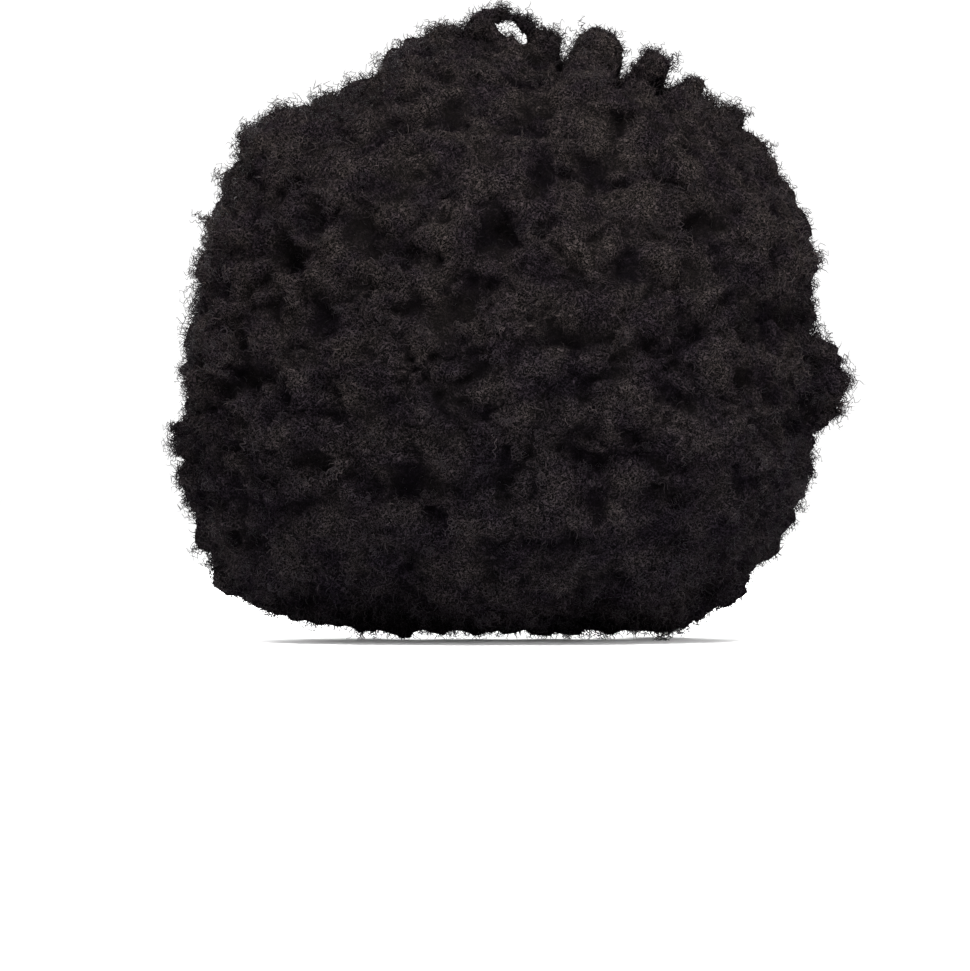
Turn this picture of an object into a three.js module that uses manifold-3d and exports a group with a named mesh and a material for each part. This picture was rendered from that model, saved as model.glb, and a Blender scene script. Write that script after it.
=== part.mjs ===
// A large afro wig: a close stretch cap with an elastic edge, and rows of teased hair sewn to it.
// Each row is one solid, its locks fused to the backing that they grow from.
// Millimetres, +Z up, +Y out of the face opening, +X to the wearer's right.
// The origin is inside the cap's top, where the crown of the head sits.
import * as THREE from "three";
import { mergeVertices } from "three/addons/utils/BufferGeometryUtils.js";
import Module from "manifold-3d";

const wasm = await Module();
wasm.setup();

const clearance = 0.3; // between pieces that touch

// The head that the cap is cut for: two half ellipsoids that meet at the temples.
const head = { halfWidth: 76, halfLength: 97, crownHeight: 95, napeHeight: 130 };

const cap = { wall: 1.5, columns: 28, rows: 6 };
const edge = { thickness: 1.5, width: 14, rows: 1 };

// The cap's edge at each bearing from the forehead: its slope from the crown, 90 at the widest level.
const capEdge = [
  { bearing: 0, slope: 58 },
  { bearing: 38, slope: 61 },
  { bearing: 60, slope: 87 },
  { bearing: 80, slope: 109 },
  { bearing: 102, slope: 103 },
  { bearing: 128, slope: 114 },
  { bearing: 155, slope: 127 },
  { bearing: 180, slope: 129.5 },
];

// The gap for the face and neck is an arch that starts just below the elastic at the brow.
const face = { templeCover: 8, browDrop: 2, archHeight: 60, neckBack: 64, archSides: 16 };

// The whole head of hair. The locks radiate from its middle.
const hair = { width: 434, height: 405, top: 88, back: 226, front: 126, squareness: 2.3 };
const middle = { right: 4, back: 36, down: 112 };
const middlePoint = new THREE.Vector3(middle.right, -middle.back, -middle.down);
const precision = 0.05; // of a point found on the outline

// The outline of the hair, from the top down: shares of the height, the half width, the back and the front.
const outline = [
  { down: 0.0, left: 0.0, right: 0.0, back: 0.0, front: 0.0 },
  { down: 0.03, left: 0.2, right: 0.3, back: 0.2, front: 0.28 },
  { down: 0.08, left: 0.36, right: 0.52, back: 0.38, front: 0.54 },
  { down: 0.13, left: 0.52, right: 0.67, back: 0.54, front: 0.73 },
  { down: 0.19, left: 0.7, right: 0.77, back: 0.68, front: 0.88 },
  { down: 0.28, left: 0.8, right: 0.88, back: 0.82, front: 1.0 },
  { down: 0.37, left: 0.86, right: 0.93, back: 0.91, front: 0.94 },
  { down: 0.49, left: 0.9, right: 0.97, back: 0.98, front: 0.7 },
  { down: 0.59, left: 0.92, right: 1.05, back: 1.0, front: 0.6 },
  { down: 0.69, left: 0.94, right: 0.99, back: 0.99, front: 0.55 },
  { down: 0.78, left: 0.92, right: 0.94, back: 0.95, front: 0.5 },
  { down: 0.85, left: 0.88, right: 0.88, back: 0.9, front: 0.46 },
  { down: 0.91, left: 0.85, right: 0.84, back: 0.84, front: 0.42 },
  { down: 0.96, left: 0.77, right: 0.75, back: 0.76, front: 0.36 },
  { down: 0.985, left: 0.62, right: 0.6, back: 0.62, front: 0.3 },
  { down: 1.0, left: 0.0, right: 0.0, back: 0.0, front: 0.0 },
];

// The rows of hair, from the crown down, by their angle from straight up about the middle.
const weftRows = [
  { name: "crown_hair", from: 0, to: 27, lockAngles: [0, 18] },
  { name: "weft_7", from: 27, to: 46, lockAngles: [37] },
  { name: "weft_6", from: 46, to: 65, lockAngles: [56] },
  { name: "weft_5", from: 65, to: 84, lockAngles: [75] },
  { name: "weft_4", from: 84, to: 103, lockAngles: [94] },
  { name: "weft_3", from: 103, to: 122, lockAngles: [113] },
  { name: "weft_2", from: 122, to: 141, lockAngles: [132] },
  { name: "weft_1", from: 141, to: 180, lockAngles: [150, 165] },
];

// A lock is a round-ended tuft, seen from the side as a table of shares of its half sizes.
const lock = { spacing: 80, halfWidth: 45, halfLength: 40, standOut: 17, sides: 6 };
const lockSide = [
  { out: 0, along: -1 },
  { out: 0.8, along: -0.7 },
  { out: 1, along: 0 },
  { out: 0.7, along: 0.7 },
  { out: 0, along: 1 },
];

// Shares of a lock's width and of its stand-out that change from lock to lock in a fixed order.
const lockWidths = [1.0, 0.88, 1.1, 0.94, 1.04, 0.84, 1.12];
const lockReaches = [0.18, -0.12, 0.35, 0.06, -0.24, 0.3, 0, 0.41, -0.18];

const backing = { columns: 20, rows: 10 };
const finish = {
  hair: { color: 0x1e1a1b, roughness: 0.95, metalness: 0 },
  net: { color: 0x131214, roughness: 0.9, metalness: 0 },
  elastic: { color: 0x1a191b, roughness: 0.8, metalness: 0 },
};

const radians = THREE.MathUtils.degToRad;

// A table's column at a place along it, on straight lines between its rows.
function readTable(table, key, place, column) {
  let row = 1;
  while (row < table.length - 1 && table[row][key] < place) row++;
  const [above, below] = [table[row - 1], table[row]];
  const share = (place - above[key]) / (below[key] - above[key]);
  return THREE.MathUtils.lerp(above[column], below[column], THREE.MathUtils.clamp(share, 0, 1));
}

// A mesh with one vertex at each corner. At a pole, a face with two corners at one place is dropped.
function mergeCorners(geometry) {
  const bare = geometry.clone();
  bare.deleteAttribute("normal");
  bare.deleteAttribute("uv");
  const merged = mergeVertices(bare, 1e-3);
  const corners = merged.index.array;
  const kept = [];
  for (let i = 0; i < corners.length; i += 3) {
    const [a, b, c] = corners.slice(i, i + 3);
    if (a !== b && b !== c && c !== a) kept.push(a, b, c);
  }
  return merged.setIndex(kept);
}

// A closed mesh as a solid that can be joined and cut, and back again.
function solidFrom(geometry) {
  const merged = mergeCorners(geometry);
  return new wasm.Manifold(
    new wasm.Mesh({
      numProp: 3,
      vertProperties: merged.attributes.position.array,
      triVerts: new Uint32Array(merged.index.array),
    }),
  );
}

function geometryFrom(solid) {
  const mesh = solid.getMesh();
  return new THREE.BufferGeometry()
    .setAttribute("position", new THREE.BufferAttribute(mesh.vertProperties, 3))
    .setIndex(new THREE.BufferAttribute(mesh.triVerts, 1))
    .toNonIndexed();
}

// A closed skin over a grid of rings. Each ring is a list of points, and a pole is a ring of equal points.
function skinOf(rings, joinLastToFirst) {
  const sides = rings[0].length;
  const positions = rings.flat().flatMap((point) => point.toArray());
  const faces = [];
  const bands = joinLastToFirst ? rings.length : rings.length - 1;
  for (let ring = 0; ring < bands; ring++) {
    const next = (ring + 1) % rings.length;
    for (let side = 0; side < sides; side++) {
      const across = (side + 1) % sides;
      const [a, b] = [ring * sides + side, ring * sides + across];
      const [c, d] = [next * sides + side, next * sides + across];
      faces.push(a, c, b, b, c, d);
    }
  }
  const skin = new THREE.BufferGeometry()
    .setAttribute("position", new THREE.Float32BufferAttribute(positions, 3))
    .setIndex(faces);
  return mergeCorners(skin);
}

// A point on the head, or so far outside it, by its bearing from the forehead and slope from the crown.
function headPoint(bearing, slope, outwards) {
  const height = (slope < Math.PI / 2 ? head.crownHeight : head.napeHeight) + outwards;
  return new THREE.Vector3(
    (head.halfWidth + outwards) * Math.sin(slope) * Math.sin(bearing),
    (head.halfLength + outwards) * Math.sin(slope) * Math.cos(bearing),
    height * Math.cos(slope) - head.crownHeight,
  );
}

// The slope at which the cap ends, and the slope that a width of fabric further down adds.
function capEndSlope(bearing) {
  const turned = Math.abs(Math.atan2(Math.sin(bearing), Math.cos(bearing)));
  return radians(readTable(capEdge, "bearing", THREE.MathUtils.radToDeg(turned), "slope"));
}

function slopeAcross(bearing, slope, width) {
  const reachOut = Math.hypot(head.halfWidth * Math.sin(bearing), head.halfLength * Math.cos(bearing));
  const height = slope < Math.PI / 2 ? head.crownHeight : head.napeHeight;
  return width / Math.hypot(reachOut * Math.cos(slope), height * Math.sin(slope));
}

// A wall of fabric on the head between two slopes that may change with the bearing.
function headWall(slopeAt, rows, thickness, startsAtCrown) {
  const ring = (share, outwards) =>
    Array.from({ length: cap.columns }, (_, column) => {
      const bearing = (-2 * Math.PI * column) / cap.columns;
      return headPoint(bearing, slopeAt(bearing, share), outwards);
    });
  const shares = Array.from({ length: rows + 1 }, (_, row) => row / rows);
  const outside = shares.map((share) => ring(share, thickness));
  const inside = shares.map((share) => ring(share, 0)).reverse();
  return skinOf([...outside, ...inside], !startsAtCrown);
}

function makeCap() {
  return headWall((bearing, share) => capEndSlope(bearing) * share, cap.rows, cap.wall, true);
}

// The slope at a share of the elastic's width, which starts a clearance below the cap's edge.
function edgeSlope(bearing, share) {
  const start = capEndSlope(bearing);
  return start + slopeAcross(bearing, start, clearance + edge.width * share);
}

function makeEdgeBand() {
  return headWall(edgeSlope, edge.rows, edge.thickness, false);
}

// The space that the hair leaves for the head in its cap, on the cap's own grid, and for the face and neck.
function makeHeadSpace() {
  const outwards = Math.max(cap.wall, edge.thickness) + clearance;
  const ring = (slopeAt) =>
    Array.from({ length: cap.columns }, (_, column) => {
      const bearing = (-2 * Math.PI * column) / cap.columns;
      return headPoint(bearing, slopeAt(bearing), outwards);
    });
  const overCap = Array.from({ length: cap.rows + 1 }, (_, row) =>
    ring((bearing) => (capEndSlope(bearing) * row) / cap.rows),
  );
  const overEdge = [0, 1].map((share) => ring((bearing) => edgeSlope(bearing, share)));
  const neck = ring((bearing) => THREE.MathUtils.lerp(edgeSlope(bearing, 1), Math.PI, 0.4));
  const bottom = ring(() => Math.PI);
  return solidFrom(skinOf([...overCap, ...overEdge, neck, bottom], false)).add(makeFaceGap());
}

// An arch that runs out of the front, cut round behind the neck.
function makeFaceGap() {
  const halfWidth = head.halfWidth - face.templeCover;
  const beyond = hair.height;
  const bottom = hair.top - hair.height - beyond;
  const forward = hair.front + beyond;
  const springs = headPoint(0, edgeSlope(0, 1), 0).z - face.browDrop - face.archHeight;
  const arch = new THREE.Shape();
  arch.moveTo(-halfWidth, bottom);
  arch.lineTo(halfWidth, bottom);
  arch.lineTo(halfWidth, springs);
  arch.absellipse(0, springs, halfWidth, face.archHeight, 0, Math.PI, false);
  const tunnel = new THREE.ExtrudeGeometry(arch, {
    depth: forward + face.neckBack,
    bevelEnabled: false,
    curveSegments: face.archSides,
  });
  tunnel.rotateX(Math.PI / 2).translate(0, forward, 0);

  const planSide = halfWidth + clearance;
  const plan = new THREE.Shape();
  plan.moveTo(planSide, forward);
  plan.lineTo(-planSide, forward);
  plan.lineTo(-planSide, 0);
  plan.absellipse(0, 0, planSide, face.neckBack, Math.PI, 2 * Math.PI, false);
  const footprint = new THREE.ExtrudeGeometry(plan, {
    depth: hair.height + 2 * beyond,
    bevelEnabled: false,
    curveSegments: face.archSides,
  });
  footprint.translate(0, 0, bottom);
  return solidFrom(tunnel).intersect(solidFrom(footprint));
}

// Above 1 outside the outline of the hair, and below 1 inside it.
function outsideShare(point) {
  const down = (hair.top - point.z) / hair.height;
  if (down <= 0 || down >= 1) return Infinity;
  const sideways = (readTable(outline, "down", down, point.x < 0 ? "left" : "right") * hair.width) / 2;
  const lengthways =
    point.y < 0
      ? readTable(outline, "down", down, "back") * hair.back
      : readTable(outline, "down", down, "front") * hair.front;
  const power = hair.squareness;
  return Math.abs(point.x / sideways) ** power + Math.abs(point.y / lengthways) ** power;
}

// How far the outline is from the middle of the hair in a direction, found by halving.
function reachAlong(direction) {
  let [near, far] = [0, hair.height + hair.width];
  while (far - near > precision) {
    const halfway = (near + far) / 2;
    const inside = outsideShare(middlePoint.clone().addScaledVector(direction, halfway)) < 1;
    [near, far] = inside ? [halfway, far] : [near, halfway];
  }
  return near;
}

// The bearing runs from the face opening, and the angle from straight up.
function directionOf(bearing, angle) {
  return new THREE.Vector3(
    Math.sin(angle) * Math.sin(bearing),
    Math.sin(angle) * Math.cos(bearing),
    Math.cos(angle),
  );
}

function makeBacking() {
  const rings = Array.from({ length: backing.rows + 1 }, (_, row) =>
    Array.from({ length: backing.columns }, (_, column) => {
      const bearing = (-2 * Math.PI * column) / backing.columns;
      const direction = directionOf(bearing, (Math.PI * row) / backing.rows);
      return middlePoint.clone().addScaledVector(direction, reachAlong(direction) - lock.standOut);
    }),
  );
  return solidFrom(skinOf(rings, false));
}

// One lock, turned to point away from the middle, with its round end at the outline.
function makeLock(direction, size, extraReach) {
  const halfWidth = lock.halfWidth * size;
  const side = lockSide.map((row) => new THREE.Vector2(row.out * halfWidth, row.along * lock.halfLength));
  const tuft = new THREE.LatheGeometry(side, lock.sides).rotateX(Math.PI / 2);
  const turn = new THREE.Quaternion().setFromUnitVectors(new THREE.Vector3(0, 0, 1), direction);
  const away = reachAlong(direction) + extraReach - lock.halfLength;
  const place = middlePoint.clone().addScaledVector(direction, away);
  tuft.applyQuaternion(turn).translate(...place.toArray());
  return tuft;
}

// Whether a lock would stand in front of the face.
function coversFace(direction) {
  const tip = middlePoint.clone().addScaledVector(direction, reachAlong(direction));
  const brow = headPoint(0, edgeSlope(0, 1), 0);
  return tip.y > 0 && Math.abs(tip.x) < head.halfWidth - face.templeCover && tip.z < brow.z;
}

function makeLocks(angleInDegrees, rowIndex) {
  const angle = radians(angleInDegrees);
  const side = reachAlong(directionOf(Math.PI / 2, angle));
  const back = reachAlong(directionOf(Math.PI, angle));
  const roundabout = Math.PI * (side + back) * Math.sin(angle);
  const count = Math.max(1, Math.round(roundabout / lock.spacing));
  const locks = [];
  for (let index = 0; index < count; index++) {
    const bearing = (2 * Math.PI * (index + (rowIndex % 2) / 2)) / count;
    const direction = directionOf(bearing, angle);
    if (coversFace(direction)) continue;
    const size = lockWidths[(index + 3 * rowIndex) % lockWidths.length];
    const reach = lockReaches[(index + 4 * rowIndex) % lockReaches.length];
    locks.push(solidFrom(makeLock(direction, size, reach * lock.standOut)));
  }
  return locks;
}

// The wedge between two cones about the middle, as a turned solid. A row of hair is what lies inside it.
function makeRowWedge(row) {
  const far = hair.height + hair.width;
  const near = head.halfWidth / 4;
  const half = clearance / 2;
  const onCone = (angle, distance, sideStep) =>
    new THREE.Vector2(
      distance * Math.sin(angle) + sideStep * Math.cos(angle),
      distance * Math.cos(angle) - sideStep * Math.sin(angle),
    );
  const [start, end] = [radians(row.from), radians(row.to)];
  const outer = [0, 1 / 3, 2 / 3, 1].map((share) =>
    onCone(THREE.MathUtils.lerp(start, end, share), far, half * (1 - 2 * share)),
  );
  const inner = [onCone(end, near, -half), onCone(start, near, half)];
  if (row.from === 0) {
    outer[0].set(0, far);
    inner[1].set(0, near);
  }
  if (row.to === 180) {
    outer[3].set(0, -far);
    inner[0].set(0, -near);
  }
  const loop = [...outer, ...inner, outer[0]].reverse();
  const wedge = new THREE.LatheGeometry(loop, backing.columns).rotateX(Math.PI / 2);
  return solidFrom(wedge).translate(...middlePoint.toArray());
}

function meshOf(name, geometry, look) {
  const mesh = new THREE.Mesh(geometry, new THREE.MeshStandardMaterial(look));
  mesh.geometry.computeVertexNormals();
  mesh.name = name;
  return mesh;
}

const wig = new THREE.Group();
wig.add(meshOf("cap", makeCap(), finish.net));
wig.add(meshOf("edge_band", makeEdgeBand(), finish.elastic));

const lockSolids = weftRows.flatMap((row, index) =>
  row.lockAngles.flatMap((angle, turn) => makeLocks(angle, index + turn)),
);
const wholeHair = wasm.Manifold.union([makeBacking(), ...lockSolids]).subtract(makeHeadSpace());
for (const row of weftRows) {
  const rowHair = wholeHair.intersect(makeRowWedge(row));
  wig.add(meshOf(row.name, geometryFrom(rowHair), finish.hair));
}

export default wig;
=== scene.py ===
import math

import bmesh
import bpy
import numpy as np
from mathutils import Matrix, Vector, noise


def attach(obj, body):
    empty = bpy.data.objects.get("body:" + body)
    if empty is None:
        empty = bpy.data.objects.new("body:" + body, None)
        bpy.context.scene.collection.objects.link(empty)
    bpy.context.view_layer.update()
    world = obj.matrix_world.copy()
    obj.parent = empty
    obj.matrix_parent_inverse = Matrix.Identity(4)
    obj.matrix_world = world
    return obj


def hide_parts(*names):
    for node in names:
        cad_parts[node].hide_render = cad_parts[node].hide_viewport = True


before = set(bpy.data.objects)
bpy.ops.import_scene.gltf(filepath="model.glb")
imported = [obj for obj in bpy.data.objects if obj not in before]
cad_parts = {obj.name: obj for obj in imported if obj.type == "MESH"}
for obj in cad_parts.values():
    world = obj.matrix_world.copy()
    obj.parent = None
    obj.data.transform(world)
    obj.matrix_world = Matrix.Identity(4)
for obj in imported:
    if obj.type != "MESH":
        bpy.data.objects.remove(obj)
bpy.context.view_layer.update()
scene = bpy.context.scene
mm = 0.001


# Small helpers

def srgb(code):
    # a web colour as the linear values that shaders take
    values = [int(code[i:i + 2], 16) / 255 for i in (1, 3, 5)]
    return tuple(v / 12.92 if v < 0.04045 else ((v + 0.055) / 1.055) ** 2.4 for v in values) + (1.0,)


def addNode(tree, kind, inputs=(), stops=(), **settings):
    node = tree.nodes.new(kind)
    for name, value in settings.items():
        setattr(node, name, value)
    for index, (place, code) in enumerate(stops):
        steps = node.color_ramp.elements
        step = steps[index] if index < len(steps) else steps.new(place)
        step.position = place
        step.color = srgb(code)
    for name, value in dict(inputs).items():
        if isinstance(value, bpy.types.NodeSocket):
            tree.links.new(value, node.inputs[name])
        else:
            node.inputs[name].default_value = value
    return node


def newMaterial(name):
    material = bpy.data.materials.new(name)
    material.use_nodes = True
    shader = material.node_tree.nodes["Principled BSDF"]
    return material, material.node_tree, shader


def showMesh(name, mesh, material):
    piece = bpy.data.objects.new(name, mesh)
    scene.collection.objects.link(piece)
    mesh.materials.clear()
    mesh.materials.append(material)
    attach(piece, "root")
    return piece


def readVectors(items, name):
    values = np.empty(len(items) * 3)
    items.foreach_get(name, values)
    return values.reshape(-1, 3)


def readEdges(mesh):
    ends = np.empty(len(mesh.edges) * 2, np.int32)
    mesh.edges.foreach_get("vertices", ends)
    return ends.reshape(-1, 2)


def addBakeMap(mesh, cells, columns, corners):
    # a UV map named OFBake: each quad or strand has a cell of its own in one grid, row by row
    rows = math.ceil((cells.max() + 1) / columns)
    origin = np.stack([cells % columns, cells // columns], axis=1)
    places = (origin + corners) / (columns, rows)
    layer = mesh.uv_layers.new(name="OFBake")
    layer.data.foreach_set("uv", places.astype(np.float32).ravel())


def applyModifiers(piece):
    graph = bpy.context.evaluated_depsgraph_get()
    mesh = bpy.data.meshes.new_from_object(piece.evaluated_get(graph))
    old = piece.data
    piece.modifiers.clear()
    piece.data = mesh
    bpy.data.meshes.remove(old)


def fade(values, start, width):
    # 0 up to the start, then rising to 1 over the width
    return np.clip((values - start) / width, 0, 1)


# Camera and light

photo = {
    "pixels": (970, 971),
    "mmPerPixel": 0.636,
    "crownPixel": (490, 142),  # where the inside top of the cap is
    "outlineDepth": -40,  # mm, where the hair is widest
    "distance": 2900,  # mm, a guess from the even look of both sides
}


def makeCamera():
    width, height = photo["pixels"]
    scale = photo["mmPerPixel"] * mm
    across = (width / 2 - photo["crownPixel"][0]) * scale
    up = (photo["crownPixel"][1] - height / 2) * scale
    data = bpy.data.cameras.new("photo_camera")
    data.sensor_width = 36
    data.lens = data.sensor_width * photo["distance"] * mm / (width * scale)
    data.clip_end = 50
    camera = bpy.data.objects.new("photo_camera", data)
    camera.location = (across, (photo["outlineDepth"] - photo["distance"]) * mm, up)
    camera.rotation_euler = (math.radians(90), 0, 0)
    scene.collection.objects.link(camera)
    scene.camera = camera


studio = {
    "floorBelow": 0.8,  # mm under the lowest puff
    "floorSize": 60,  # m
    "aim": (0, 0, -0.12),  # m, where the lamps point
    "world": 1.05,
    "lamps": [
        # name, place in m, size in m, watts
        {"name": "top_softbox", "place": (0.1, -1.1, 1.8), "size": 1.0, "power": 207},
        {"name": "right_softbox", "place": (1.9, -1.5, 0.1), "size": 1.0, "power": 56},
        {"name": "left_softbox", "place": (-1.9, -1.6, -0.1), "size": 1.2, "power": 34},
        {"name": "face_softbox", "place": (-0.6, 2.0, 0.8), "size": 1.2, "power": 110},
    ],
}


def makeStudio():
    scene.view_settings.view_transform = "Standard"
    world = bpy.data.worlds.new("white_studio")
    world.use_nodes = True
    backdrop = world.node_tree.nodes["Background"]
    backdrop.inputs["Color"].default_value = (1, 1, 1, 1)
    backdrop.inputs["Strength"].default_value = studio["world"]
    scene.world = world
    aim = Vector(studio["aim"])
    for lamp in studio["lamps"]:
        data = bpy.data.lights.new(lamp["name"], "AREA")
        data.size = lamp["size"]
        data.energy = lamp["power"]
        light = bpy.data.objects.new(lamp["name"], data)
        light.location = lamp["place"]
        light.rotation_euler = (aim - light.location).to_track_quat("-Z", "Y").to_euler()
        scene.collection.objects.link(light)


makeCamera()
makeStudio()
print("camera and studio ready")


# Hair: its frame, shared by the mass and the curls

hairNodes = ["crown_hair"] + [f"weft_{row}" for row in range(7, 0, -1)]
hairFrame = {
    "capHalfWidth": 76 * mm,
    "capHalfLength": 97 * mm,
    "capCrown": 95 * mm,
    "capNape": 130 * mm,
    "lining": 1.03,  # how far out the mass starts, as clearOfCap counts it
}


def clearOfCap(x, y, z):
    # how far out a point is from the space in the cap, where 1 is on its lining
    f = hairFrame
    up = z + f["capCrown"]
    height = np.where(up > 0, f["capCrown"], f["capNape"])
    return np.sqrt((x / f["capHalfWidth"]) ** 2 + (y / f["capHalfLength"]) ** 2 + (up / height) ** 2)


# Hair: the teased mass

mass = {
    "hullVoxel": 5.0 * mm,
    "hullSmoothing": 4,
    "voxel": 3.5 * mm,
    "swell": 0.5 * mm,  # closes the gaps between the rows
    "hullRounds": 70,  # of relaxing, which fills the valleys between the locks
    "hullShrink": 3.0 * mm,  # room for the puffs and the curls inside the outline
    "smoothing": 3,
    "fleece": [
        # small lumps on the puffs: cell size in mm, height in mm, how far the cells wander
        {"size": 16, "height": 3.8, "wander": 0.6},
        {"size": 9, "height": 2.8, "wander": 0.7},
    ],
    "rough": {"size": 5.5, "height": 2.4},  # mm, breaks up the edges
    "drift": {"size": 26, "reach": 7},  # mm, pushes the puffs out of round, but not on the outline
    "crest": {"rounds": 40, "height": 9},  # of relaxing, and mm from the deepest cleft to the highest crest
}

outline = {
    # the outline seen from behind: mm from the middle of the hair, every 10 degrees from the right upwards
    "middle": (4, -112),
    "reach": [212, 211, 206, 205, 203, 198, 196, 196, 186, 197, 190, 188, 177, 185, 201, 195, 194, 194,
              197, 206, 219, 231, 243, 246, 231, 217, 206, 203, 207, 217, 233, 236, 233, 230, 224, 226],
    "hullInside": [12] * 9 + [20] + [12] * 26,  # mm that the hull stays within it, more under the thin loop
    "massInside": 1.5,  # mm that the puffs stay within it, which the curls fill
    "notchDepth": 62,  # mm before and behind it that the gaps between its puffs run out
}

puffs = {
    "spacing": 21,  # mm, between puffs of the radius "usual"
    "usual": 15,  # mm
    "tries": 9000,
    "radius": (9, 18),  # mm
    "sink": (0.4, 0.8),  # how much of the radius lies in the hull
    "flat": 0.74,  # height to width on the lower half, where the puffs lie in rows
    "wander": 8,  # mm that a named puff may lie behind the outline or before it
    "inward": 5,  # mm that a named puff is drawn in, which the curls fill
    "named": [
        # puffs that show on the outline: pixel in the photo, radius in pixels
        (474, 48, 20), (510, 46, 18), (545, 50, 18), (597, 51, 29), (597, 74, 22), (652, 63, 22),
        (651, 84, 16), (690, 98, 15), (728, 122, 15), (424, 62, 18), (376, 90, 19), (302, 128, 19),
        (256, 150, 17), (246, 188, 19), (826, 362, 21), (829, 384, 23), (824, 408, 20),
        (192, 438, 20), (210, 512, 19), (220, 318, 19), (404, 600, 34), (546, 602, 34), (446, 50, 20),
        (475, 604, 34), (606, 598, 32), (338, 598, 30), (198, 478, 22), (214, 540, 22), (664, 596, 28),
        (370, 601, 31), (440, 604, 31), (511, 604, 31), (577, 601, 31), (636, 598, 29), (317, 595, 27),
        (683, 594, 26), (704, 590, 24), (294, 592, 25), (268, 586, 23), (228, 572, 20), (802, 436, 20),
        (806, 318, 19), (246, 582, 20), (726, 586, 20),
        # the thin loop of hair that stands over the crown
        (476, 27, 9), (481, 17, 9), (489, 11, 8), (499, 8, 7), (509, 8, 7), (518, 10, 7), (527, 13, 8),
        (536, 15, 8), (545, 17, 8), (553, 22, 8), (536, 24, 9), (546, 28, 10), (487, 24, 9), (556, 34, 11),
        (500, 38, 11), (512, 40, 11), (524, 40, 11), (534, 38, 12),
    ],
}

notches = [
    # gaps between puffs on the outline: turn in degrees, half width in degrees, depth in mm
    (75.3, 1.2, 20), (62.4, 1.1, 24), (53.8, 1.2, 10), (105, 1.6, 4), (117, 2.0, 6), (132, 2.0, 5),
    (187, 1.6, 4), (7, 1.6, 4),
]

clefts = [
    # dark gaps between puffs: pixel in the photo, half width and half height in pixels, depth in mm
    (503, 250, 22, 12, 12), (568, 246, 45, 9, 4), (688, 234, 20, 12, 9), (643, 238, 16, 11, 6),
    (300, 270, 17, 18, 13), (226, 205, 20, 13, 6), (201, 465, 8, 55, 10), (388, 246, 40, 9, 3.5),
    (496, 414, 13, 24, 5), (323, 461, 40, 9, 3.5), (452, 479, 60, 9, 4), (611, 461, 60, 9, 4),
    (388, 547, 50, 10, 4), (553, 533, 60, 9, 3.5), (733, 389, 13, 30, 5), (654, 403, 40, 9, 4),
    (258, 382, 30, 12, 5), (326, 317, 10, 22, 5), (760, 470, 34, 10, 4), (420, 330, 30, 9, 4),
    (700, 330, 26, 9, 4), (265, 540, 30, 10, 4), (690, 540, 40, 10, 4), (560, 150, 26, 8, 3.5),
    (489, 225, 8, 34, 5), (560, 290, 34, 6, 4), (575, 350, 34, 6, 4),
]


def toOutline(places):
    # where points show in the photo, in mm on the plane of the outline, as turn and reach from its middle
    apart = photo["distance"] * mm
    shrink = apart / (apart + places[:, 1] - photo["outlineDepth"] * mm)
    eye = scene.camera.location
    across = eye.x + (places[:, 0] - eye.x) * shrink - outline["middle"][0] * mm
    up = eye.z + (places[:, 2] - eye.z) * shrink - outline["middle"][1] * mm
    return np.arctan2(up, across), np.hypot(across, up)


def notchRim(places):
    # draws the gaps between puffs in towards the middle of the outline
    turn, reach = toOutline(places)
    count = len(outline["reach"])
    usual = np.interp(turn / math.tau * count % count, np.arange(count + 1),
                      np.array(outline["reach"] + outline["reach"][:1]) * mm)
    depth = np.zeros(len(places))
    for at, halfWide, deep in notches:
        aside = (np.degrees(turn) - at + 180) % 360 - 180
        depth = np.maximum(depth, deep * mm * np.exp(-(aside / halfWide) ** 4))
    aside = (places[:, 1] - photo["outlineDepth"] * mm) / (outline["notchDepth"] * mm)
    depth *= fade(reach / usual, 0.78, 0.2) * np.exp(-aside ** 2)
    inward = np.stack([-np.cos(turn), np.zeros(len(turn)), -np.sin(turn)], axis=1)
    return places + inward * depth[:, None]


def fitOutline(places, inside):
    # draws the rim to so many mm within the photo's outline and leaves what faces the camera alone
    turn, reach = toOutline(places)
    count = len(outline["reach"])
    sector = turn / math.tau * count % count
    nearest = np.round(sector).astype(int) % count
    widest = np.array([np.percentile(reach[nearest == k], 99.5) for k in range(count)])
    wanted = np.subtract(outline["reach"], inside) * mm
    low = np.floor(sector).astype(int) % count
    part = sector - np.floor(sector)
    blend = lambda table: table[low] * (1 - part) + table[(low + 1) % count] * part
    rim = fade(reach / blend(widest), 0.45, 0.5)
    rim = rim * rim * (3 - 2 * rim)
    factor = 1 + (blend(wanted / widest) - 1) * rim
    middle = np.array([outline["middle"][0], 0, outline["middle"][1]]) * mm
    stretch = np.stack([factor, np.ones(len(factor)), factor], axis=1)
    return middle + (places - middle) * stretch


def relax(values, edges, rounds):
    # each value drawn to the mean of its neighbours
    ends = np.concatenate([edges, edges[:, ::-1]])
    shares = np.bincount(ends[:, 0], minlength=len(values))[:, None]
    for _ in range(rounds):
        sums = [np.bincount(ends[:, 0], values[ends[:, 1], k], len(values)) for k in range(3)]
        values = np.stack(sums, axis=1) / shares
    return values


def cutClefts(places, normals):
    # how deep each point sinks into the clefts that the camera sees
    scale = photo["mmPerPixel"] * mm
    across, up = photo["crownPixel"]
    facing = fade(-places[:, 1], 0.05, 0.04) * np.clip(-normals[:, 1] * 3 + 0.6, 0, 1)
    depth = np.zeros(len(places))
    for x, y, halfWide, halfHigh, deep in clefts:
        aside = (places[:, 0] - (x - across) * scale) / (halfWide * scale)
        above = (places[:, 2] - (up - y) * scale) / (halfHigh * scale)
        depth = np.maximum(depth, deep * mm * np.exp(-aside ** 2 - above ** 2))
    return depth * facing


def lowerPart(height):
    # 0 down to 0.1 m under the crown and 1 from 0.2 m down
    return fade(-height, 0.1, 0.1)


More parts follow.
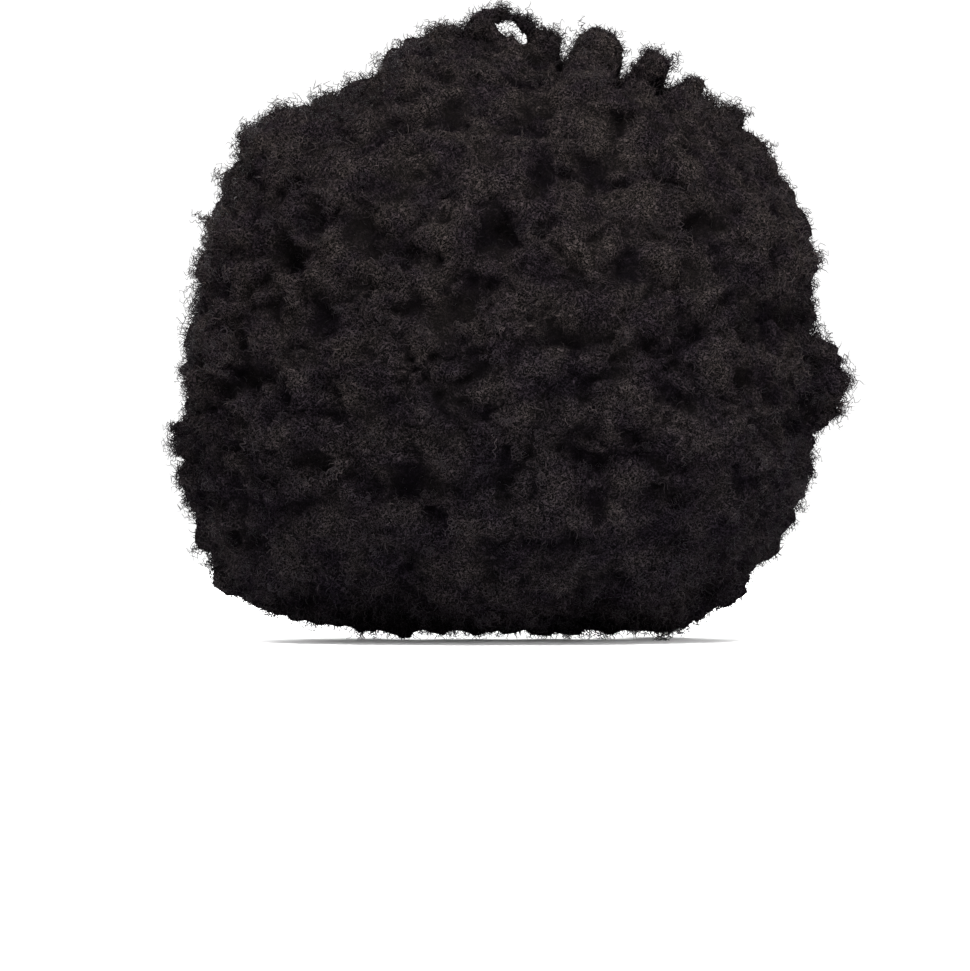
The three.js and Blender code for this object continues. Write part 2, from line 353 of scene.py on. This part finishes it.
def makeHull():
    # the solids of all the rows as one closed skin
    bm = bmesh.new()
    for name in hairNodes:
        bm.from_mesh(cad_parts[name].data)
    bmesh.ops.remove_doubles(bm, verts=bm.verts, dist=1e-5)
    mesh = bpy.data.meshes.new("hair_mass")
    bm.to_mesh(mesh)
    bm.free()
    piece = showMesh("hair_mass", mesh, hairMassMaterial())
    swell = piece.modifiers.new("swell", "DISPLACE")
    swell.strength = mass["swell"]
    swell.mid_level = 0
    remesh = piece.modifiers.new("remesh", "REMESH")
    remesh.mode = "VOXEL"
    remesh.voxel_size = mass["hullVoxel"]
    smooth = piece.modifiers.new("smooth", "SMOOTH")
    smooth.iterations = mass["hullSmoothing"]
    applyModifiers(piece)

    places = readVectors(piece.data.vertices, "co")
    normals = readVectors(piece.data.vertices, "normal")
    free = fade(clearOfCap(*places.T), 1.1, 0.3)[:, None]
    places += (relax(places, readEdges(piece.data), mass["hullRounds"]) - places) * free
    places = fitOutline(places, outline["hullInside"]) - normals * free * mass["hullShrink"]
    piece.data.vertices.foreach_set("co", places.ravel())
    piece.data.update()
    return piece


def choosePuffs(mesh, rng):
    # random places on the hull that keep their distance from each other and from the cap
    places = readVectors(mesh.vertices, "co")
    normals = readVectors(mesh.vertices, "normal")
    chosen = []
    taken = np.empty((0, 3))
    low, high = puffs["radius"]
    for index in rng.permutation(len(places))[:puffs["tries"]]:
        place, normal = places[index], normals[index]
        radius = (low + (high - low) * rng.random() ** 1.4) * mm
        centre = place - normal * radius * rng.uniform(*puffs["sink"])
        capRadius = 80 * mm  # roughly, on every side
        if (clearOfCap(*centre) - 1) * capRadius < radius * 1.2:
            continue
        gap = puffs["spacing"] * mm * (0.55 + 0.45 * radius / (puffs["usual"] * mm))
        if len(taken) and np.linalg.norm(taken - place, axis=1).min() < gap:
            continue
        taken = np.vstack([taken, place])
        flat = 1 - (1 - puffs["flat"]) * lowerPart(place[2])
        scale = rng.uniform(0.88, 1.14, 3) * (1.08, 1.08, flat)
        chosen.append((centre, radius, scale))
    return chosen


def outlinePuffs(rng):
    # the named puffs, at the depth where the hair is widest
    scale = photo["mmPerPixel"] * mm
    across, up = photo["crownPixel"]
    made = []
    for x, y, radius in puffs["named"]:
        wander = puffs["wander"] * fade(radius, 10, 5)
        depth = (photo["outlineDepth"] + rng.uniform(-wander, wander)) * mm
        centre = np.array([(x - across) * scale, depth, (up - y) * scale])
        middle = np.array([outline["middle"][0] * mm, depth, outline["middle"][1] * mm])
        inward = middle - centre
        centre = centre + inward / np.linalg.norm(inward) * puffs["inward"] * mm
        made.append((centre, radius * scale, rng.uniform(0.9, 1.1, 3)))
    return made


def fleeceHeight(place):
    # rounded cells with soft valleys round them
    total = 0.0
    for lumps in mass["fleece"]:
        at = place / (lumps["size"] * mm)
        at = at + lumps["wander"] * noise.noise_vector(at * 0.9)
        near = noise.voronoi(at)[0][0]
        total += lumps["height"] * mm * (0.5 - near * near * 1.5)
    rough = mass["rough"]
    return total + rough["height"] * mm * noise.noise(place / (rough["size"] * mm))


def makeHairMass():
    rng = np.random.default_rng(7)
    noise.seed_set(7)  # else noise_vector takes its seed from the clock
    piece = makeHull()
    chosen = choosePuffs(piece.data, rng) + outlinePuffs(rng)
    print("puffs:", len(chosen))
    bm = bmesh.new()
    for centre, radius, scale in chosen:
        place = Matrix.LocRotScale(Vector(centre), None, Vector(scale))
        bmesh.ops.create_icosphere(bm, subdivisions=2, radius=radius, matrix=place)
    bm.from_mesh(piece.data)
    bm.to_mesh(piece.data)
    bm.free()
    remesh = piece.modifiers.new("remesh", "REMESH")
    remesh.mode = "VOXEL"
    remesh.voxel_size = mass["voxel"]
    smooth = piece.modifiers.new("smooth", "SMOOTH")
    smooth.iterations = mass["smoothing"]
    applyModifiers(piece)

    mesh = piece.data
    places = readVectors(mesh.vertices, "co")
    normals = readVectors(mesh.vertices, "normal")
    free = fade(clearOfCap(*places.T), 1.06, 0.25)  # nothing grows into the cap
    flat = 1 + 0.35 * lowerPart(places[:, 2])  # presses the lumps flat lower down
    spread = places * np.stack([np.ones(len(flat))] * 2 + [flat], axis=1)
    heights = np.array([fleeceHeight(Vector(at)) for at in spread])
    places += normals * (free * (heights - cutClefts(places, normals)))[:, None]
    drift = mass["drift"]
    pushed = np.array([noise.noise_vector(Vector(at) / (drift["size"] * mm)) for at in places])
    _, reach = toOutline(places)
    inland = np.clip((0.86 - reach / (200 * mm)) / 0.14, 0, 1) + np.clip(places[:, 1] / (60 * mm), 0, 1)
    places += pushed * drift["reach"] * mm * (free * np.clip(inland, 0, 1))[:, None]
    places = notchRim(fitOutline(places, outline["massInside"]))
    clear = clearOfCap(*places.T)
    inside = clear < hairFrame["lining"]
    core = np.array([0, 0, -hairFrame["capCrown"]])
    places[inside] = core + (places[inside] - core) * (hairFrame["lining"] / clear[inside])[:, None]
    mesh.vertices.foreach_set("co", places.ravel())
    mesh.update()

    # how far each point stands out of its surroundings, from 0 in a cleft to 1 on a crest; the hair
    # materials paint shade into the clefts from it
    settled = relax(places, readEdges(mesh), mass["crest"]["rounds"])
    proud = ((places - settled) * readVectors(mesh.vertices, "normal")).sum(axis=1)
    crest = np.clip(0.5 + proud / (mass["crest"]["height"] * mm), 0, 1)
    stored = mesh.attributes.new("crest", "FLOAT", "POINT")
    stored.data.foreach_set("value", crest.astype(np.float32))
    for polygon in mesh.polygons:
        polygon.use_smooth = True

    # the remesh left quads alone, and each gets a cell with a small margin
    loops = np.arange(len(mesh.loops))
    square = np.array([(0.1, 0.1), (0.9, 0.1), (0.9, 0.9), (0.1, 0.9)])
    addBakeMap(mesh, loops // 4, math.ceil(math.sqrt(len(mesh.polygons))), square[loops % 4])
    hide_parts(*hairNodes)
    return piece


hairFinish = {
    # sizes of the patterns, all on Object coordinates
    "cloud": 55 * mm,  # parts of the hair that are warmer or cooler
    "patch": 22 * mm,  # random tufts painted lighter and darker, partly as painted shade between clumps and partly as different density
    "curls": [(4.8 * mm, 46), (3.0 * mm, 34)],  # a mat's curls, and how many fibres show across each
    "gap": 1.4 * mm,  # between fibres: the real ones are 0.08 mm thick, drawn coarser so that they show
    "bump": 1.2 * mm,
    "bottom": -0.32,  # m, where the tone is coolest
    "top": 0.09,  # m, where it is warmest
}


def toneByHeight(tree, place):
    # painted light and shade: warm and lighter over the top, where the light falls, cool and a little
    # darker at the nape
    split = addNode(tree, "ShaderNodeSeparateXYZ", {"Vector": place})
    cloud = addNode(tree, "ShaderNodeTexNoise", {
        "Vector": place, "Scale": 1 / hairFinish["cloud"], "Detail": 3.0})
    # painted light: the height ramp lightens and warms the top
    height = addNode(tree, "ShaderNodeMapRange", {
        "Value": split.outputs["Z"], "From Min": hairFinish["bottom"], "From Max": hairFinish["top"],
        "To Min": -0.25, "To Max": 0.75})
    mixed = addNode(tree, "ShaderNodeMath", {
        0: cloud.outputs["Fac"], 1: height.outputs["Result"]}, operation="ADD")
    tone = addNode(tree, "ShaderNodeValToRGB", {"Fac": mixed.outputs[0]},
                   stops=[(0.2, "#dad5e3"), (0.9, "#fcf3f1")])
    # painted shade and density: random patches darken and lighten the tone
    patches = addNode(tree, "ShaderNodeTexNoise", {
        "Vector": place, "Scale": 1 / hairFinish["patch"], "Detail": 3.0})
    patchShadeAndDensity = addNode(tree, "ShaderNodeValToRGB", {"Fac": patches.outputs["Fac"]},
                   stops=[(0.36, "#c4bccb"), (0.64, "#fffaf5")])
    both = addNode(tree, "ShaderNodeMix", {
        "Factor": 1.0, 6: tone.outputs["Color"], 7: patchShadeAndDensity.outputs["Color"]},
        data_type="RGBA", blend_type="MULTIPLY")
    return both.outputs[2]


def tangle(tree, place, curl, fibres):
    # thin wavy lines where a noise passes certain levels, as fibres cross in a mat
    field = addNode(tree, "ShaderNodeTexNoise", {
        "Vector": place, "Scale": 1 / curl, "Detail": 2.0, "Roughness": 0.55, "Distortion": 0.6})
    times = addNode(tree, "ShaderNodeMath", {0: field.outputs["Fac"], 1: fibres}, operation="MULTIPLY")
    wave = addNode(tree, "ShaderNodeMath", {0: times.outputs[0]}, operation="SINE")
    line = addNode(tree, "ShaderNodeMapRange", {
        "Value": wave.outputs[0], "From Min": 0.35, "From Max": 1.0})
    return line.outputs["Result"]


def hairMassMaterial():
    # crimped modacrylic fibre, teased into a mat: dull near black, the fine curls painted pale as lit
    # fibres over gaps painted dark as shade, and the clefts between puffs painted darker as shade
    material, tree, shader = newMaterial("teased modacrylic hair")
    place = addNode(tree, "ShaderNodeTexCoord").outputs["Object"]
    tone = toneByHeight(tree, place)
    moved = addNode(tree, "ShaderNodeVectorMath", {0: place, 1: (3.1, 1.7, 5.3)}, operation="ADD")
    large, small = [tangle(tree, at, *curl)
                    for at, curl in zip((place, moved.outputs[0]), hairFinish["curls"])]
    both = addNode(tree, "ShaderNodeMath", {0: large, 1: small}, operation="MAXIMUM")
    gaps = addNode(tree, "ShaderNodeTexNoise", {
        "Vector": place, "Scale": 1 / hairFinish["gap"], "Detail": 1.0})
    curls = addNode(tree, "ShaderNodeMath", {
        0: both.outputs[0], 1: gaps.outputs["Fac"]}, operation="MULTIPLY")
    crest = addNode(tree, "ShaderNodeAttribute", attribute_name="crest")
    # painted shade: the clefts between puffs, low in crest, are darkened
    raised = addNode(tree, "ShaderNodeMapRange", {
        "Value": crest.outputs["Fac"], "From Min": 0.1, "From Max": 0.7, "To Min": 0.24, "To Max": 1.0})
    lit = addNode(tree, "ShaderNodeMath", {
        0: curls.outputs[0], 1: raised.outputs["Result"]}, operation="MULTIPLY")
    # painted light and shade: pale on the fibres and crests, dark in the gaps and clefts
    ramp = addNode(tree, "ShaderNodeValToRGB", {"Fac": lit.outputs[0]},
                   stops=[(0.0, "#060606"), (0.2, "#131213"), (0.6, "#2e2c2c")])
    colour = addNode(tree, "ShaderNodeMix", {
        "Factor": 1.0, 6: ramp.outputs["Color"], 7: tone},
        data_type="RGBA", blend_type="MULTIPLY")
    bump = addNode(tree, "ShaderNodeBump", {
        "Strength": 1.0, "Distance": hairFinish["bump"], "Height": curls.outputs[0]})
    tree.links.new(colour.outputs[2], shader.inputs["Base Color"])
    tree.links.new(bump.outputs["Normal"], shader.inputs["Normal"])
    shader.inputs["Roughness"].default_value = 0.9
    shader.inputs["Specular IOR Level"].default_value = 0.0
    return material


def strandMaterial():
    # single crimped fibres: each has its own random tone, a few are painted pale as highlights, and those
    # rooted in clefts are painted darker as shade
    material, tree, shader = newMaterial("crimped modacrylic fibre")
    tone = toneByHeight(tree, addNode(tree, "ShaderNodeTexCoord").outputs["Object"])
    shade = addNode(tree, "ShaderNodeAttribute", attribute_name="shade")
    ramp = addNode(tree, "ShaderNodeValToRGB", {"Fac": shade.outputs["Fac"]},
                   stops=[(0.0, "#0b0a0b"), (0.5, "#1d1b1c"), (0.85, "#272525"), (1.0, "#302d2c")])
    colour = addNode(tree, "ShaderNodeMix", {
        "Factor": 1.0, 6: ramp.outputs["Color"], 7: tone},
        data_type="RGBA", blend_type="MULTIPLY")
    tree.links.new(colour.outputs[2], shader.inputs["Base Color"])
    shader.inputs["Roughness"].default_value = 0.6
    shader.inputs["Specular IOR Level"].default_value = 0.04
    return material


hairMass = makeHairMass()
print("hair mass ready:", len(hairMass.data.polygons), "faces")


# Hair: the curls that stand out of the mass

curlStyles = {
    # lengths in mm; together is how many grow side by side as one small tuft
    "nap": {"count": 17500, "together": 1, "apart": 0, "steps": 3, "length": 5.0, "coil": 1.3,
            "turns": 0.7, "lean": 1.2, "bend": 1.5, "thick": 0.55, "sink": 0.6},
    "frizz": {"count": 6400, "together": 8, "apart": 0.6, "steps": 10, "length": 7.5, "coil": 2.0,
              "turns": 2.6, "lean": 1.3, "bend": 3.0, "thick": 0.62, "sink": 1.0},
    "wisp": {"count": 200, "together": 1, "apart": 0, "steps": 14, "length": 10.0, "coil": 1.9,
             "turns": 2.6, "lean": 1.2, "bend": 5.0, "thick": 0.45, "sink": 2.0},
}
airyStyle = {"together": 1, "apart": 0, "steps": 10, "length": 9.5, "coil": 2.5, "turns": 2.8, "lean": 0.9,
             "bend": 4.0, "thick": 0.56, "sink": 0.5}
rimShare = {"more": 1.6, "depth": 50}  # more curls within so many mm of where the outline shows
airyTufts = [
    # see-through tufts on the outline: pixel in the photo, radius in pixels, how many curls
    (478, 22, 17, 110), (502, 12, 12, 90), (530, 20, 15, 100), (555, 36, 15, 80), (598, 44, 21, 190),
    (651, 60, 15, 130), (689, 84, 12, 70), (726, 98, 15, 80), (440, 40, 16, 60), (400, 56, 16, 60),
    (374, 66, 18, 60), (330, 92, 14, 40), (302, 106, 16, 50), (248, 130, 18, 80), (212, 184, 14, 40),
    (850, 380, 14, 50), (842, 412, 12, 40), (170, 446, 15, 70), (184, 505, 14, 50), (180, 300, 12, 50),
    (212, 560, 14, 40), (822, 330, 12, 40), (796, 236, 12, 40), (806, 480, 12, 40),
]
strandSides = 3
tuftWide = 2.6 * mm  # how far the curls of one tuft stand from its middle
pieceLimit = 190000  # triangles in one piece of curls, just under what a piece may have


def unit(vectors):
    return vectors / np.maximum(np.linalg.norm(vectors, axis=-1, keepdims=True), 1e-12)


def pickRoots(mesh, count, together, rng):
    # random places on the mass, even by area, with more on the crests and the outline and none at the cap
    mesh.calc_loop_triangles()
    triangles = np.empty(len(mesh.loop_triangles) * 3, np.int32)
    mesh.loop_triangles.foreach_get("vertices", triangles)
    triangles = triangles.reshape(-1, 3)
    places = readVectors(mesh.vertices, "co")
    normals = readVectors(mesh.vertices, "normal")
    corners = places[triangles]
    areas = np.linalg.norm(np.cross(corners[:, 1] - corners[:, 0], corners[:, 2] - corners[:, 0]), axis=1)
    centres = corners.mean(axis=1)
    areas *= clearOfCap(*centres.T) > 1.09
    crest = np.empty(len(mesh.vertices))
    mesh.attributes["crest"].data.foreach_get("value", crest)
    crest = crest[triangles].mean(axis=1)
    areas *= 0.4 + crest  # the clefts stay open
    turn, reach = toOutline(centres)
    table = np.array(outline["reach"] + outline["reach"][:1]) * mm
    sectors = len(outline["reach"])
    rim = np.interp(turn / math.tau * sectors % sectors, np.arange(sectors + 1), table)
    aside = (centres[:, 1] - photo["outlineDepth"] * mm) / (rimShare["depth"] * mm)
    areas *= 1 + rimShare["more"] * np.exp(-aside ** 2) * (reach > 0.88 * rim)
    groups = math.ceil(count / together)
    shares = (np.arange(groups) + rng.random(groups)) / groups  # one in each share leaves no bare spots
    picked = np.searchsorted(np.cumsum(areas) / areas.sum(), shares)
    picked = np.repeat(picked, together)[:count]
    weights = rng.dirichlet((1, 1, 1), count)[:, :, None]
    root = (corners[picked] * weights).sum(axis=1)
    normal = unit((normals[triangles[picked]] * weights).sum(axis=1))
    aside = rng.normal(size=(count, 3)) * tuftWide * (together > 1)
    root = root + aside - normal * (aside * normal).sum(axis=1, keepdims=True)
    return root, normal, crest[picked]


def strandShape(root, normal, style, rng):
    # the middle line of each strand, a loose coil that widens from its root, and a frame along it
    count = len(root)
    together = style["together"]
    groups = math.ceil(count / together)
    shared = lambda values: np.repeat(values, together, axis=0)[:count]
    vary = lambda low, high: rng.uniform(low, high, (count, 1, 1))
    alike = lambda low, high: shared(rng.uniform(low, high, (groups, 1, 1)))
    along = np.linspace(0, 1, style["steps"] + 1)[None, :, None]
    wander = unit(shared(rng.normal(size=(groups, 3))) + style["apart"] * rng.normal(size=(count, 3)))
    direction = unit(normal + style["lean"] * wander * shared(rng.uniform(0, 1, (groups, 1))))
    outward = (direction * normal).sum(axis=1, keepdims=True)
    direction = unit(direction + normal * np.maximum(0.25 - outward, 0))
    side = unit(np.cross(direction, unit(rng.normal(size=(count, 3)))))
    across = np.cross(direction, side)
    direction, side, across = direction[:, None], side[:, None], across[:, None]
    turn = vary(0, math.tau) + math.tau * style["turns"] * vary(0.7, 1.3) * along
    radial = np.cos(turn) * side + 0.8 * np.sin(turn) * across
    coil = style["coil"] * mm * vary(0.6, 1.4) * (1 - np.exp(-4 * along))
    curve = style["bend"] * mm * vary(-1, 1) * along ** 2
    reach = style["length"] * mm * alike(0.5, 1.5) * vary(0.75, 1.2)
    line = (root - normal * style["sink"] * mm)[:, None] + direction * reach * along
    line = line + coil * radial + curve * side
    tangent = unit(np.gradient(line, axis=1))
    second = unit(np.cross(tangent, side + 0.3 * across))
    third = np.cross(tangent, second)
    return line, second, third


def joinStrands(name, line, second, third, style, shades, material):
    # closed tubes of three sides that taper to a point, all in one mesh
    count, rings = line.shape[0], line.shape[1] - 1
    along = np.arange(rings) / rings
    width = (style["thick"] * mm / 2 * (1.15 - 0.7 * along))[None, :, None, None]
    angle = (math.tau * np.arange(strandSides) / strandSides)[None, None, :, None]
    body = line[:, :rings, None] + width * (
        np.cos(angle) * second[:, :rings, None] + np.sin(angle) * third[:, :rings, None])
    perStrand = rings * strandSides + 1
    vertices = np.concatenate([body.reshape(count, -1, 3), line[:, -1:]], axis=1).reshape(-1, 3)

    start = (np.arange(count) * perStrand)[:, None]
    ring, corner = np.meshgrid(np.arange(rings - 1), np.arange(strandSides), indexing="ij")
    ring, corner = ring.ravel(), corner.ravel()
    following = (corner + 1) % strandSides
    quads = np.stack([
        ring * strandSides + corner, ring * strandSides + following,
        (ring + 1) * strandSides + following, (ring + 1) * strandSides + corner], axis=1)
    quads = (start[:, :, None] + quads[None]).reshape(-1, 4)
    last = (rings - 1) * strandSides
    sides = np.arange(strandSides)
    tips = np.stack([last + sides, last + (sides + 1) % strandSides,
                     np.full(strandSides, perStrand - 1)], axis=1)
    base = np.arange(strandSides)[::-1][None]
    triangles = (start[:, :, None] + np.concatenate([tips, base])[None]).reshape(-1, 3)

    mesh = bpy.data.meshes.new(name)
    mesh.from_pydata(vertices.tolist(), [], quads.tolist() + triangles.tolist())

    # in its cell a strand lies unrolled and upright, its tip at the top and its root face at the bottom
    low, high = 0.16, 0.84
    left, right = corner / strandSides, (corner + 1) / strandSides
    below, above = [low + (high - low) * (ring + k) / (rings - 1) for k in (0, 1)]
    wall = np.stack([left, below, right, below, right, above, left, above], axis=1).reshape(-1, 2)
    thirds = np.arange(strandSides) / strandSides
    level = np.full(strandSides, high)
    point = np.stack([thirds, level, thirds + 1 / strandSides, level,
                      thirds + 0.5 / strandSides, level + 0.13], axis=1).reshape(-1, 2)
    root = np.array([(0.1, 0.03), (0.9, 0.03), (0.5, 0.12)])
    inset = lambda corners: np.tile(corners * (0.8, 1) + (0.1, 0), (count, 1))
    cells = np.concatenate([np.repeat(np.arange(count), len(wall)),
                            np.repeat(np.arange(count), len(point) + len(root))])
    corners = np.concatenate([inset(wall), inset(np.concatenate([point, root]))])
    addBakeMap(mesh, cells, math.ceil(math.sqrt(count * 2 * rings / strandSides)), corners)
    shade = mesh.attributes.new("shade", "FLOAT", "POINT")
    shade.data.foreach_set("value", np.repeat(shades, perStrand).astype(np.float32))
    for polygon in mesh.polygons:
        polygon.use_smooth = True
    return showMesh(name, mesh, material)


def tuftRoots(mesh, rng):
    # roots on the mass beside each airy tuft, and the way from there into the tuft
    scale = photo["mmPerPixel"] * mm
    across, up = photo["crownPixel"]
    places = readVectors(mesh.vertices, "co")
    roots, normals = [], []
    for x, y, radius, count in airyTufts:
        centre = np.array([(x - across) * scale, photo["outlineDepth"] * mm, (up - y) * scale])
        apart = np.linalg.norm(places - centre, axis=1)
        near = np.argsort(apart)[:260]
        near = near[apart[near] < apart[near[0]] + radius * scale]
        root = places[rng.choice(near, count)]
        aim = centre + unit(rng.normal(size=(count, 3))) * radius * scale * rng.uniform(0, 1, (count, 1))
        roots.append(root)
        normals.append(unit(aim - root))
    return np.concatenate(roots), np.concatenate(normals)


def makeCurls():
    material = strandMaterial()
    made = []
    for seed, (name, style) in enumerate(curlStyles.items()):
        rng = np.random.default_rng(100 + seed)
        root, normal, crest = pickRoots(hairMass.data, style["count"], style["together"], rng)
        line, second, third = strandShape(root, normal, style, rng)
        if name == "frizz":
            tuftRoot, tuftNormal = tuftRoots(hairMass.data, rng)
            tuft = strandShape(tuftRoot, tuftNormal, airyStyle, rng)
            line, second, third = [np.concatenate(pair) for pair in zip(tuft, (line, second, third))]
            root = np.concatenate([tuftRoot, root])
            crest = np.concatenate([np.full(len(tuftRoot), 0.6), crest])
        # painted shade: strands rooted in the clefts get darker tones, on top of the random spread
        shades = rng.uniform(0, 1, len(root)) ** 1.3 * np.clip(crest * 1.6 - 0.15, 0.08, 1)
        perStrand = 2 * strandSides * (style["steps"] - 1) + strandSides + 1  # triangles
        parts = math.ceil(len(root) * perStrand / pieceLimit)
        order = np.argsort(root[:, 2])
        for part, chosen in enumerate(np.array_split(order, parts)):
            made.append(joinStrands(f"{name}_curls_{part + 1}", line[chosen], second[chosen],
                                    third[chosen], style, shades[chosen], material))
    return made


curls = makeCurls()
triangles = {piece.name: sum(len(face.vertices) - 2 for face in piece.data.polygons)
             for piece in [hairMass] + curls}
print("curls ready, triangles:", triangles, sum(triangles.values()))


# Cap and its elastic

cloth = {
    "bevel": 0.45 * mm,  # rounds the cut edges
    "netPitch": 2.2 * mm,  # the real net has 1.2 mm, drawn coarser so that it shows
    "trackAngle": 0.2,  # radians from one sewn track to the next, 18 mm on the cap
    "ribs": 8,  # of 1.75 mm across the elastic
    "stitch": 1.4 * mm,  # of the elastic's knit
    "bump": 0.6 * mm,
}


def makeCloth(node, material):
    bm = bmesh.new()
    bm.from_mesh(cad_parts[node].data)
    bmesh.ops.remove_doubles(bm, verts=bm.verts, dist=1e-5)
    flat = math.radians(60)
    bmesh.ops.join_triangles(bm, faces=bm.faces, angle_face_threshold=flat, angle_shape_threshold=flat)
    mesh = bpy.data.meshes.new(node + "_cloth")
    bm.to_mesh(mesh)
    bm.free()
    for polygon in mesh.polygons:
        polygon.use_smooth = True
    piece = showMesh(node + "_cloth", mesh, material)
    bevel = piece.modifiers.new("bevel", "BEVEL")
    bevel.width = cloth["bevel"]
    bevel.segments = 2
    bevel.limit_method = "ANGLE"
    bevel.angle_limit = math.radians(50)
    subdivide = piece.modifiers.new("subdivide", "SUBSURF")
    subdivide.levels = subdivide.render_levels = 1
    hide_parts(node)
    return piece


def markAcross(mesh):
    # how far up across the elastic each point is, 0 at its lower edge and 1 at its upper edge
    places = readVectors(mesh.vertices, "co")
    columns = len(places) // 4
    across = places[:, 0] / hairFrame["capHalfWidth"]
    along = places[:, 1] / hairFrame["capHalfLength"]
    column = np.round(np.arctan2(across, along) / math.tau * columns).astype(int) % columns
    points = np.maximum(np.bincount(column, minlength=columns), 1)
    middle = np.bincount(column, places[:, 2], columns) / points
    stored = mesh.attributes.new("across", "FLOAT", "POINT")
    stored.data.foreach_set("value", (places[:, 2] > middle[column]).astype(np.float32))


def netMaterial():
    # black nylon net with small dark holes, dull, crossed by the raised tracks of the sewn rows
    material, tree, shader = newMaterial("knitted nylon stretch net")
    coords = addNode(tree, "ShaderNodeTexCoord")
    holes = addNode(tree, "ShaderNodeTexVoronoi", {
        "Vector": coords.outputs["Object"], "Scale": 1 / cloth["netPitch"], "Randomness": 0.45},
        feature="DISTANCE_TO_EDGE")
    thread = addNode(tree, "ShaderNodeMapRange", {
        "Value": holes.outputs["Distance"], "From Min": 0.05, "From Max": 0.24,
        "To Min": 1.0, "To Max": 0.0})
    centred = addNode(tree, "ShaderNodeVectorMath", {
        0: coords.outputs["Object"], 1: (0, 0, hairFrame["capCrown"])}, operation="ADD")
    level = addNode(tree, "ShaderNodeVectorMath", {
        0: centred.outputs[0], 1: (1, 1, 0)}, operation="MULTIPLY")
    aside = addNode(tree, "ShaderNodeVectorMath", {0: level.outputs[0]}, operation="LENGTH")
    split = addNode(tree, "ShaderNodeSeparateXYZ", {"Vector": centred.outputs[0]})
    slope = addNode(tree, "ShaderNodeMath", {
        0: aside.outputs["Value"], 1: split.outputs["Z"]}, operation="ARCTAN2")
    turns = addNode(tree, "ShaderNodeMath", {
        0: slope.outputs[0], 1: math.tau / cloth["trackAngle"]}, operation="MULTIPLY")
    wave = addNode(tree, "ShaderNodeMath", {0: turns.outputs[0]}, operation="SINE")
    track = addNode(tree, "ShaderNodeMapRange", {
        "Value": wave.outputs[0], "From Min": 0.72, "From Max": 0.88})
    height = addNode(tree, "ShaderNodeMath", {
        0: thread.outputs["Result"], 1: track.outputs["Result"]}, operation="MAXIMUM")
    colour = addNode(tree, "ShaderNodeValToRGB", {"Fac": thread.outputs["Result"]},
                     stops=[(0.0, "#060506"), (1.0, "#222023")])
    sewn = addNode(tree, "ShaderNodeMix", {
        "Factor": track.outputs["Result"], 6: colour.outputs["Color"], 7: srgb("#151416")},
        data_type="RGBA")
    bump = addNode(tree, "ShaderNodeBump", {
        "Strength": 0.9, "Distance": cloth["bump"], "Height": height.outputs[0]})
    tree.links.new(sewn.outputs[2], shader.inputs["Base Color"])
    tree.links.new(bump.outputs["Normal"], shader.inputs["Normal"])
    shader.inputs["Roughness"].default_value = 0.9
    shader.inputs["Specular IOR Level"].default_value = 0.08
    return material


def elasticMaterial():
    # black knitted elastic: soft round ribs along its length, each a chain of small stitches, little sheen;
    # the grooves between ribs and stitches are painted darker as shade
    material, tree, shader = newMaterial("knitted ribbed elastic")
    coords = addNode(tree, "ShaderNodeTexCoord")
    across = addNode(tree, "ShaderNodeAttribute", attribute_name="across")
    turns = addNode(tree, "ShaderNodeMath", {
        0: across.outputs["Fac"], 1: math.tau * cloth["ribs"]}, operation="MULTIPLY")
    wave = addNode(tree, "ShaderNodeMath", {0: turns.outputs[0]}, operation="COSINE")
    rib = addNode(tree, "ShaderNodeMapRange", {
        "Value": wave.outputs[0], "From Min": -1.0, "From Max": 0.6})
    stitch = addNode(tree, "ShaderNodeTexVoronoi", {
        "Vector": coords.outputs["Object"], "Scale": 1 / cloth["stitch"], "Randomness": 0.6})
    knit = addNode(tree, "ShaderNodeMapRange", {
        "Value": stitch.outputs["Distance"], "From Min": 0.2, "From Max": 0.9,
        "To Min": 1.0, "To Max": 0.3})
    height = addNode(tree, "ShaderNodeMath", {
        0: rib.outputs["Result"], 1: knit.outputs["Result"]}, operation="MULTIPLY")
    # painted shade: the low parts of the ribs and stitches get the darker colour
    colour = addNode(tree, "ShaderNodeValToRGB", {"Fac": height.outputs[0]},
                     stops=[(0.0, "#080708"), (0.8, "#232124")])
    bump = addNode(tree, "ShaderNodeBump", {
        "Strength": 0.9, "Distance": cloth["bump"], "Height": height.outputs[0]})
    tree.links.new(colour.outputs["Color"], shader.inputs["Base Color"])
    tree.links.new(bump.outputs["Normal"], shader.inputs["Normal"])
    shader.inputs["Roughness"].default_value = 0.85
    shader.inputs["Specular IOR Level"].default_value = 0.08
    return material


capCloth = makeCloth("cap", netMaterial())
bandCloth = makeCloth("edge_band", elasticMaterial())
markAcross(bandCloth.data)
print("cap ready:", len(capCloth.data.polygons), "faces, elastic:", len(bandCloth.data.polygons),
      "faces and", len(bandCloth.data.vertices), "points")


# Floor

def makeFloor(height):
    bm = bmesh.new()
    bmesh.ops.create_grid(bm, x_segments=1, y_segments=1, size=studio["floorSize"] / 2)
    bmesh.ops.translate(bm, vec=(0, 0, height), verts=bm.verts)
    mesh = bpy.data.meshes.new("floor")
    bm.to_mesh(mesh)
    bm.free()
    material, _, shader = newMaterial("matt white paper")
    shader.inputs["Base Color"].default_value = srgb("#fafafa")
    shader.inputs["Roughness"].default_value = 0.9
    mesh.materials.append(material)
    floor = bpy.data.objects.new("floor", mesh)
    scene.collection.objects.link(floor)


# the lowest puffs rest on the floor, and a few curl tips are pressed into it
makeFloor(min(vertex.co.z for vertex in hairMass.data.vertices) - studio["floorBelow"] * mm)
print("floor ready")
